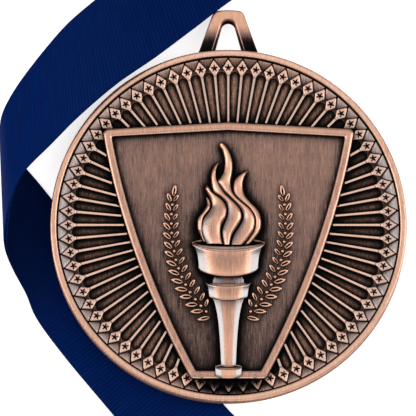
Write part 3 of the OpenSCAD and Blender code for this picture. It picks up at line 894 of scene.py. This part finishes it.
# Rulings across the doubled ribbon, as in the CAD route: (far x, y, z, near x, y, z)
ROUTE = [
    (5, -40.5, LIE, -9.5, -52, LIE), (-0.5, -35.5, LIE, -15, -46.5, LIE), (-8.2, -25.7, LIE, -22.4, -37.3, LIE), (-16.8, -15.2, LIE, -31.5, -26.4, LIE),
    (-23.7, -7.6, LIE, -37.5, -18.3, LIE), (-31, 1, LIE, -39.8, -13.1, -0.5), (-37, 8.5, -0.5, -42, -9, 0.2), (-41, 13, 0.4, -43.3, -6, 1.6),
    (-44.3, 17, 3.2, -43.7, -3.5, 3.6), (-44.5, 20.5, 5.2, -43.4, 0, 5.6), (-43.2, 24.2, 6.2, -42.3, 4.8, 7.2), (-40.5, 29, 5, -40.1, 9.6, 8),
    (-36, 35.5, 2.5, -34.8, 15.2, 8.2), (-31.5, 41, 1, -29.2, 21.0, 8), (-26, 46, 0.2, -21.95, 27.45, 7.4), (-19.5, 51.5, -0.2, -14.3, 33.05, 6.4),
    (-13, 56.3, -0.4, -6.8, 39.05, 5), (-6, 61.5, -0.5, 0.7, 45.1, 3.6), (2, 67, LIE, 8.5, 50.3, 2), (11, 72, LIE, 16.2, 54.7, 0.4),
    (19, 75, LIE, 21, 57.2, LIE), (23, 76, LIE, 24, 58, LIE), (26.5, 76, LIE, 26.5, 58, LIE), (31, 76, LIE, 31, 58, LIE),
    (34.5, 76, LIE, 34.5, 58, LIE), (36.6, 76, 0, 36.6, 58, 0), (37.7, 76, 1.1, 37.7, 58, 1.1), (37, 76, 2, 37, 58, 2), (35, 76, 2.8, 35, 58, 2.8),
    (20, 76, 2.9, 20, 58, 2.9), (0, 76, 2.8, 0, 58, 2.8), (-15, 76, 1.6, -15, 58, 1.6), (-25, 76, 0, -25, 58, 0), (-34, 76, LIE, -34, 58, LIE),
    (-36, 76, -0.2, -36, 58, -0.2), (-36.6, 76, 0.6, -36.6, 58, 0.6), (-36, 76, 1.4, -36, 58, 1.4), (-34, 76, 1.8, -34, 58, 1.8),
    (-24, 76, 2.2, -24, 58, 2.2), (-12, 76, 3.8, -12, 58, 3.8), (0, 76, 4.4, 0, 58, 4.4), (20, 76, 4.6, 20, 58, 4.6), (34, 76, 4.5, 34, 58, 4.5),
    (36, 76, 4.8, 36, 58, 4.8), (36.6, 76, 5.6, 36.6, 58, 5.6), (36, 76, 6.4, 36, 58, 6.4), (34, 76, 6.8, 34, 58, 6.8), (21, 76, 6.3, 21, 58, 6.3),
    (14, 76, 6.3, 14, 58, 6.3), (8, 76, 6.3, 8, 58, 6.3), (3, 75.6, 6.3, 3, 58.4, 6.3), (-2, 72.5, 6.3, -2, 61.5, 6.3), (-6.7, 70, 6.3, -6.7, 64, 6.3),
]
TIP = np.array([-8.0, 67.0, 6.3])
RIB = 0.72
GAP = 0.235  # half the distance between the middles of the two layers
HALF = 0.165  # half a layer's thickness, without its ribs


def ribbon():
    fine = spline(ROUTE, 40)
    mid = (fine[:, :3] + fine[:, 3:]) / 2
    s = np.concatenate([[0], np.cumsum(np.linalg.norm(np.diff(mid, axis=0), axis=1))])
    n = int(s[-1] / (RIB / 2)) + 1
    at = np.linspace(0, s[-1], n)
    rul = np.column_stack([np.interp(at, s, fine[:, k]) for k in range(6)])
    far, near = rul[:, :3], rul[:, 3:]
    mid = (far + near) / 2
    d = np.gradient(mid, axis=0)
    k = np.hanning(15)
    k /= k.sum()
    nrm = np.cross(-d, near - far)
    nrm /= np.linalg.norm(nrm, axis=1)[:, None]
    pad = np.vstack([np.repeat(nrm[:1], 7, 0), nrm, np.repeat(nrm[-1:], 7, 0)])
    nrm = np.column_stack([np.convolve(pad[:, c], k, "valid") for c in range(3)])
    nrm /= np.linalg.norm(nrm, axis=1)[:, None]
    along = d / np.linalg.norm(d, axis=1)[:, None]
    width = np.linalg.norm(near - far, axis=1)
    run = len(at)
    # the path of one layer after the other: back along the lower layer, round the nape fold, out along the upper, round the ring
    v_at = np.array([0.0, 0.006, 0.018, 0.04, 0.14, 0.32, 0.5, 0.68, 0.86, 0.96, 0.982, 0.994, 1.0])
    thick = np.array([0.0, 0.75, 1.12, 1.0, 1.0, 1.0, 1.0, 1.0, 1.0, 1.0, 1.12, 0.75, 0.0])
    rib_w = np.array([0.0, 0.2, 0.5, 0.9, 1, 1, 1, 1, 1, 0.9, 0.5, 0.2, 0.0])
    open_from = at[-1] - 6.0
    t = np.clip((at - open_from) / (at[-1] - open_from), 0, 1)
    spread = GAP + (1.22 - GAP) * t * t * (3 - 2 * t)
    stations = []  # (far, near, outward normal, distance)

    def station(i, sign, shift):
        o = nrm[i] * sign * spread[i]
        return far[i] + o, near[i] + o, nrm[i] * sign, shift

    dist = 0.0
    for i in range(run):  # layer on the +normal side, from the nape to the ring
        stations.append(station(i, 1, at[i]))
    # round the ring's wire, from the +normal side to the other
    f_end, n_end = far[-1], near[-1]
    mid_y = (f_end[1] + n_end[1]) / 2
    top = nrm[-1]
    steps = 14
    for q in range(1, steps):
        a = math.pi * (0.14 + 0.72 * q / steps) if False else math.pi * q / steps
        a = math.radians(62) + (math.radians(298) - math.radians(62)) * q / steps
        # angle from +X (towards the strap) turning through the +normal side
        dirv = np.array([math.cos(a), 0, 0]) + top * math.sin(a)
        c = np.array([TIP[0], 0, TIP[2]])
        p = c + dirv * 1.33
        stations.append((np.array([p[0], f_end[1], p[2]]), np.array([p[0], n_end[1], p[2]]), dirv, at[-1] + 0.45 * q))
    for i in range(run - 1, -1, -1):
        stations.append(station(i, -1, at[-1] + 7 + (at[-1] - at[i])))
    # nape fold
    for q in range(1, 8):
        a = math.pi * q / 8
        dirv = -nrm[0] * math.cos(a) - along[0] * math.sin(a)
        stations.append((far[0] + dirv * GAP, near[0] + dirv * GAP, dirv, 2 * at[-1] + 7 + 0.1 * q))
    m = len(stations)
    knot = s[::40]
    # painted shade: the lower strip is darkened towards the fold; past the fold the upper strip gets painted light
    shade = 1 - 0.62 * ramp(at, knot[3], knot[6]) * (1 - ramp(at, knot[7], knot[9])) + 0.22 * ramp(at, knot[8], knot[9]) * (1 - ramp(at, knot[11], knot[16]))
    verts, su, sv, rb, sd_ = [], [], [], [], []
    nc = len(v_at)
    for i, (f, e, nn, sd) in enumerate(stations):
        w = e - f
        wl = np.linalg.norm(w)
        vv = v_at.copy()
        base = f[None] + w[None] * vv[:, None]
        narrow = max(0.0, 1 - wl / 18.0)
        if i < run or i >= run + steps - 1:
            ii = i if i < run else (run - 1) - (i - (run + steps - 1))
            ii = min(max(ii, 0), run - 1)
            tt = 1 - t[ii]
            fold = 0.28 * narrow * tt * np.cos(vv * 6 * math.pi)
            base = base + nrm[ii][None] * fold[:, None]
        ridge = 0.042 if i % 2 == 0 else -0.03
        h_out = thick * HALF + ridge * rib_w
        h_in = thick * HALF + ridge * rib_w * 0.6
        out = base + nn[None] * h_out[:, None]
        inn = base[1:-1][::-1] - nn[None] * h_in[1:-1][::-1, None]
        verts += [out, inn]
        col = np.concatenate([vv, vv[1:-1][::-1]]) * 18
        su += col.tolist()
        sv += [sd] * len(col)
        rb += [1.0 if i % 2 == 0 else 0.0] * len(col)
        ii = i if i < run else (run - 1) - (i - (run + steps - 1))
        sd_ += [float(shade[min(max(ii, 0), run - 1)])] * len(col)
    cols = nc + nc - 2
    verts = np.vstack(verts)
    faces = strips(m, cols)
    a = (m - 1) * cols
    faces += [(a + c, a + (c + 1) % cols, (c + 1) % cols, c) for c in range(cols)]
    # outward
    i = 6
    p = verts[[faces[i][k] for k in (0, 1, 2)]]
    if np.cross(p[1] - p[0], p[2] - p[0]) @ stations[0][2] < 0:
        faces = [tuple(reversed(f)) for f in faces]
    sh = Shape()
    sh.add(verts, faces, up=False)
    ob = sh.build("neck_ribbon_cloth")
    for key, val in (("rib", rb), ("across", su), ("along", sv), ("shade", sd_)):
        at_ = ob.data.attributes.new(key, "FLOAT", "POINT")
        at_.data.foreach_set("value", np.array(val, np.float32))
    return ob, at[-1]


def ribbon_cloth():
    m, b, node, link = nodes("navy grosgrain ribbon")
    rib = node("ShaderNodeAttribute", attribute_name="rib")
    u = node("ShaderNodeAttribute", attribute_name="across")
    v = node("ShaderNodeAttribute", attribute_name="along")
    xy = node("ShaderNodeCombineXYZ")
    link(u.outputs["Fac"], xy.inputs[0])
    link(v.outputs["Fac"], xy.inputs[1])
    yarn = node("ShaderNodeTexNoise", Scale=1.0, Detail=2.0, Roughness=0.5)
    mp = node("ShaderNodeMapping")
    mp.inputs["Scale"].default_value = (5.5, 1.5, 1)
    link(xy.outputs[0], mp.inputs[0])
    link(mp.outputs[0], yarn.inputs["Vector"])
    slub = node("ShaderNodeTexNoise", Scale=1.0, Detail=3.0, Roughness=0.6)
    mp2 = node("ShaderNodeMapping")
    mp2.inputs["Scale"].default_value = (0.16, 1.5, 1)
    link(xy.outputs[0], mp2.inputs[0])
    link(mp2.outputs[0], slub.inputs["Vector"])
    wave = node("ShaderNodeTexWave", Scale=1.0, Distortion=0.6, Detail=1.0)
    mp3 = node("ShaderNodeMapping")
    mp3.inputs["Scale"].default_value = (1.05, 0.02, 1)
    link(xy.outputs[0], mp3.inputs[0])
    link(mp3.outputs[0], wave.inputs["Vector"])
    # painted light and shade: the rib ridges are coloured lighter and the valleys darker
    k = math_node(node, link, "MULTIPLY", rib.outputs["Fac"], 0.42)
    k = math_node(node, link, "MULTIPLY_ADD", yarn.outputs["Fac"], 0.35, k)
    k = math_node(node, link, "MULTIPLY_ADD", slub.outputs["Fac"], 0.5, k)
    k = math_node(node, link, "SUBTRACT", k, 0.22)
    tone = colours(node, [(0.0, (0.0005, 0.0045, 0.040)), (0.45, (0.0007, 0.0095, 0.075)), (1.0, (0.001, 0.022, 0.130))])
    link(k, tone.inputs["Fac"])
    dim = node("ShaderNodeAttribute", attribute_name="shade")
    dark = node("ShaderNodeVectorMath", operation="SCALE")
    link(tone.outputs["Color"], dark.inputs[0])
    link(dim.outputs["Fac"], dark.inputs["Scale"])
    link(dark.outputs[0], b.inputs["Base Color"])
    b.inputs["Roughness"].default_value = 0.62
    b.inputs["Specular IOR Level"].default_value = 0.10
    b.inputs["Specular Tint"].default_value = (0.10, 0.30, 1.0, 1)
    hgt = math_node(node, link, "MULTIPLY_ADD", wave.outputs["Fac"], 0.45, yarn.outputs["Fac"])
    bump = node("ShaderNodeBump", Strength=0.45, Distance=0.00006)
    link(hgt, bump.inputs["Height"])
    link(bump.outputs[0], b.inputs["Normal"])
    return m


cloth, layer_len = ribbon()
cloth.data.materials.append(ribbon_cloth())
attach(cloth, "ribbon")
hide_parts("neck_ribbon")

# ---------------------------------------------------------------- stitches


def stitches():
    s = Shape()
    z = TIP[2] + 0.44
    n = 8

    def stitch(a, b):
        a, b = np.array(a, float), np.array(b, float)
        d = b - a
        l = np.linalg.norm(d)
        d /= l
        e = np.array([-d[1], d[0]])
        rows = []
        for t in np.linspace(0, 1, 9):
            arch = math.sin(math.pi * t)
            r = 0.055 + 0.10 * arch ** 0.5
            c = a + (b - a) * t
            q = np.arange(n) * 2 * math.pi / n
            off = np.outer(np.cos(q) * r, e)
            rows.append(np.column_stack([c + off, z + 0.02 + 0.10 * arch + np.sin(q) * r * 0.9]))
        v = np.vstack(rows)
        f = strips(9, n)
        f += [tuple(range(n)), tuple(reversed(range(8 * n, 9 * n)))]
        s.add(v, f, up=False)

    for x in (4.2, 11.8):
        for k in range(5):
            stitch((x, 63.2 + k * 1.55), (x, 64.5 + k * 1.55))
    for y in (63.2, 70.8):
        for k in range(5):
            stitch((4.25 + k * 1.55, y), (5.5 + k * 1.55, y))
    for sgn in (-1, 1):
        for k in range(6):
            c0, c1 = 0.08 + k * 0.145, 0.08 + k * 0.145 + 0.11
            stitch((4.4 + 7.2 * c0, 67 + sgn * (-3.6 + 7.2 * c0)), (4.4 + 7.2 * c1, 67 + sgn * (-3.6 + 7.2 * c1)))
    return s.build("lap_thread", None)


def thread():
    m, b, node, link = nodes("navy sewing thread")
    tc = node("ShaderNodeTexCoord")
    w = node("ShaderNodeTexWave", Scale=2600.0, Distortion=1.2, Detail=2.0, bands_direction="DIAGONAL")
    link(tc.outputs["Object"], w.inputs["Vector"])
    tone = colours(node, [(0.0, (0.001, 0.006, 0.045)), (1.0, (0.004, 0.03, 0.15))])
    link(w.outputs["Fac"], tone.inputs["Fac"])
    link(tone.outputs["Color"], b.inputs["Base Color"])
    b.inputs["Roughness"].default_value = 0.5
    bump = node("ShaderNodeBump", Strength=0.6, Distance=0.00003)
    link(w.outputs["Fac"], bump.inputs["Height"])
    link(bump.outputs[0], b.inputs["Normal"])
    return m


sew = stitches()
sew.data.materials.append(thread())
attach(sew, "ribbon")
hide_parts("lap_stitching")

# ---------------------------------------------------------------- split ring


def split_ring():
    """Two turns of wire pressed together, with a free end on each side."""
    s = Shape()
    tilt = math.radians(-5)
    rm = 5.4
    cx = TIP[0] + (0.45 - rm) * math.cos(tilt)
    cz = TIP[2] - (0.45 - rm) * math.sin(tilt)
    turns, n, m = 1.93, 300, 14
    q = np.arange(m) * 2 * math.pi / m
    prof = np.column_stack([np.sign(np.cos(q)) * np.abs(np.cos(q)) ** 0.7 * 0.46, np.sign(np.sin(q)) * np.abs(np.sin(q)) ** 0.7 * 0.225])
    rows = []
    for i in range(n + 1):
        t = i / n
        a = math.radians(152) + t * turns * 2 * math.pi
        # height: lower turn, a short crossing, upper turn
        w = t * turns
        step = min(1, max(0, (w - 0.93) / 0.12))
        z = -0.24 + 0.48 * step * step * (3 - 2 * step)
        k = min(1, min(t, 1 - t) * n / 4) ** 0.5
        r = rm + prof[:, 0] * (0.35 + 0.65 * k)
        zz = z + prof[:, 1] * (0.35 + 0.65 * k)
        x, y = r * math.cos(a), r * math.sin(a)
        rows.append(np.column_stack([cx + x * math.cos(tilt) + zz * math.sin(tilt), TIP[1] + y, cz - x * math.sin(tilt) + zz * math.cos(tilt)]))
    v = np.vstack(rows)
    f = strips(n + 1, m) + [tuple(range(m)), tuple(reversed(range(n * m, (n + 1) * m)))]
    p = v[list(f[5])]
    out = np.cross(p[1] - p[0], p[2] - p[0])
    c = rows[0].mean(0)
    if out @ (p.mean(0) - c) < 0:
        f = [tuple(reversed(x)) for x in f]
    s.add(v, f, up=False)
    ob = s.build("split_ring_wire", 60)
    a = ob.data.attributes.new("relief", "FLOAT", "POINT")
    gapd = np.abs(np.tile(prof[:, 1], n + 1)) * 0
    a.data.foreach_set("value", (0.32 + gapd).astype(np.float32))
    a = ob.data.attributes.new("metal", "FLOAT", "POINT")
    a.data.foreach_set("value", (1.0 + gapd).astype(np.float32))
    return ob


ring = split_ring()
ring.data.materials.append(bronze("bronze plated wire", streak=(2500, 2500, 9000), streak_amount=0.10, mottle=0.08, rough=(0.42, 0.22)))
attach(ring, "ring")
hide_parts("split_ring")

# ---------------------------------------------------------------- floor and light


def floor():
    n = 24
    g = np.linspace(-2.5, 2.5, n)
    v = [(x, y, (TABLE_Z - 0.02) * MM) for y in g for x in g]
    f = [(j * n + i, j * n + i + 1, (j + 1) * n + i + 1, (j + 1) * n + i) for j in range(n - 1) for i in range(n - 1)]
    me = bpy.data.meshes.new("floor")
    me.from_pydata(v, [], f)
    ob = bpy.data.objects.new("floor", me)
    bpy.context.scene.collection.objects.link(ob)
    m, b, node, link = nodes("pale floor")
    tc = node("ShaderNodeTexCoord")
    nz = node("ShaderNodeTexNoise", Scale=35.0, Detail=4.0)
    link(tc.outputs["Object"], nz.inputs["Vector"])
    tone = colours(node, [(0.0, (0.93, 0.93, 0.93)), (1.0, (0.96, 0.96, 0.96))])
    link(nz.outputs["Fac"], tone.inputs["Fac"])
    link(tone.outputs["Color"], b.inputs["Base Color"])
    link(tone.outputs["Color"], b.inputs["Emission Color"])
    b.inputs["Emission Strength"].default_value = 0.70
    b.inputs["Roughness"].default_value = 0.9
    b.inputs["Specular IOR Level"].default_value = 0.1
    me.materials.append(m)
    return ob


floor()

world = bpy.data.worlds.new("studio")
bpy.context.scene.world = world
world.use_nodes = True
wt = world.node_tree
bg = wt.nodes["Background"]
wtc = wt.nodes.new("ShaderNodeTexCoord")
sep = wt.nodes.new("ShaderNodeSeparateXYZ")
wt.links.new(wtc.outputs["Generated"], sep.inputs[0])
wr = wt.nodes.new("ShaderNodeValToRGB")
el = wr.color_ramp.elements
for p, c in ((0.0, 0.35), (1.0, 1.0)):
    (el[0] if p == 0 else el[1]).position = p
el[0].color = (0.32, 0.32, 0.33, 1)
el[1].color = (0.80, 0.80, 0.80, 1)
e2 = el.new(0.55)
e2.color = (0.42, 0.42, 0.43, 1)
e3 = el.new(0.85)
e3.color = (0.70, 0.70, 0.71, 1)
wt.links.new(sep.outputs["Z"], wr.inputs["Fac"])
wt.links.new(wr.outputs["Color"], bg.inputs["Color"])
bg.inputs["Strength"].default_value = 1.0


def softbox(name, where, size, radiance):
    d = bpy.data.lights.new(name, "AREA")
    d.shape = "RECTANGLE"
    d.size, d.size_y = size
    d.energy = radiance * math.pi * size[0] * size[1]
    o = bpy.data.objects.new(name, d)
    bpy.context.scene.collection.objects.link(o)
    o.location = where
    o.rotation_mode = "QUATERNION"
    o.rotation_quaternion = (-Vector(where)).to_track_quat("-Z", "Y")
    return o


softbox("left softbox", (-0.95, 0.10, 0.80), (0.55, 1.3), 2.05)
softbox("right softbox", (0.95, 0.10, 0.80), (0.55, 1.3), 2.05)
softbox("front softbox", (0.0, -1.1, 0.75), (1.0, 0.4), 1.3)
softbox("top softbox", (0.0, 0.35, 1.6), (1.1, 0.9), 0.30)

sc = bpy.context.scene
sc.view_settings.view_transform = "Standard"
sc.view_settings.look = "None"
sc.view_settings.exposure = 0.0
sc.view_settings.gamma = 1.0
